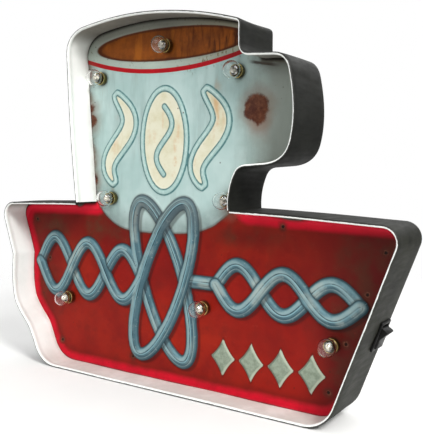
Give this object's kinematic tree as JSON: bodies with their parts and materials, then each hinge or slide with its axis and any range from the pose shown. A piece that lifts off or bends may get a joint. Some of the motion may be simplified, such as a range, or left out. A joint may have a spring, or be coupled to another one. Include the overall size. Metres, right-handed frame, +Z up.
{
  "type": "lit tin advertising sign",
  "caption": "Free-standing or wall-hung tin sign cut as a cup on a flared base, with an embossed recessed face, clear globe lamps, a side rocker switch and a battery box behind.",
  "frame": {"origin": "under the middle of the flared base, on the surface the sign stands on, at mid depth and mid width", "axes": "+X to the right of a person reading the sign, +Y from the face towards the back, +Z up"},
  "size_m": [0.4308, 0.057, 0.3468],
  "materials": {
    "outside": "worn satin black outside, off-white inside",
    "face": "satin printed tin, aged with rust",
    "cover": "satin black",
    "zinc": "zinc plated",
    "brass": "plated, dull",
    "glass": "clear, glossy",
    "led": "clear to milky epoxy",
    "plastic": "moulded black",
    "cell": "foil label, plain",
    "wire": "insulated"
  },
  "bodies": {
    "sign": {"base_band": "outside", "cup_band": "outside", "corner_bracket_left": "zinc", "corner_bracket_right": "zinc", "face_panel": "face", "back_cover": "cover", "hanger_plate_left": "zinc", "hanger_plate_right": "zinc", "battery_box": "plastic", "battery_1": "cell", "battery_2": "cell", "contact_spring_1": "zinc", "contact_spring_2": "zinc", "contact_plate_1": "zinc", "contact_plate_2": "zinc", "switch_housing": "plastic", "lamp_wire": "wire", "battery_to_switch_wire": "wire", "battery_to_lamp_wire": "wire", "cover_screw_1": "zinc", "cover_screw_2": "zinc", "cover_screw_3": "zinc", "cover_screw_4": "zinc", "cover_screw_5": "zinc", "cover_screw_6": "zinc", "cover_screw_7": "zinc", "lamp_1_base": "brass", "lamp_1_globe": "glass", "lamp_1_led": "led", "lamp_1_nut": "zinc", "lamp_2_base": "brass", "lamp_2_globe": "glass", "lamp_2_led": "led", "lamp_2_nut": "zinc", "lamp_3_base": "brass", "lamp_3_globe": "glass", "lamp_3_led": "led", "lamp_3_nut": "zinc", "lamp_4_base": "brass", "lamp_4_globe": "glass", "lamp_4_led": "led", "lamp_4_nut": "zinc", "lamp_5_base": "brass", "lamp_5_globe": "glass", "lamp_5_led": "led", "lamp_5_nut": "zinc", "lamp_6_base": "brass", "lamp_6_globe": "glass", "lamp_6_led": "led", "lamp_6_nut": "zinc", "lamp_7_base": "brass", "lamp_7_globe": "glass", "lamp_7_led": "led", "lamp_7_nut": "zinc", "lamp_8_base": "brass", "lamp_8_globe": "glass", "lamp_8_led": "led", "lamp_8_nut": "zinc"},
    "rocker": {"switch_rocker": "plastic"},
    "door": {"battery_door": "plastic"}
  },
  "joints": [
    {"name": "switch_rock", "type": "hinge", "parent": "sign", "child": "rocker", "pos_m": [0.18692, 0.0122, 0.07554], "axis": [0, -1, 0], "range_deg": [0, 28]},
    {"name": "battery_door_swing", "type": "hinge", "parent": "sign", "child": "door", "pos_m": [-0.0897, 0.0273, 0.095], "axis": [0, 0, 1], "range_deg": [0, 90]}
  ]
}
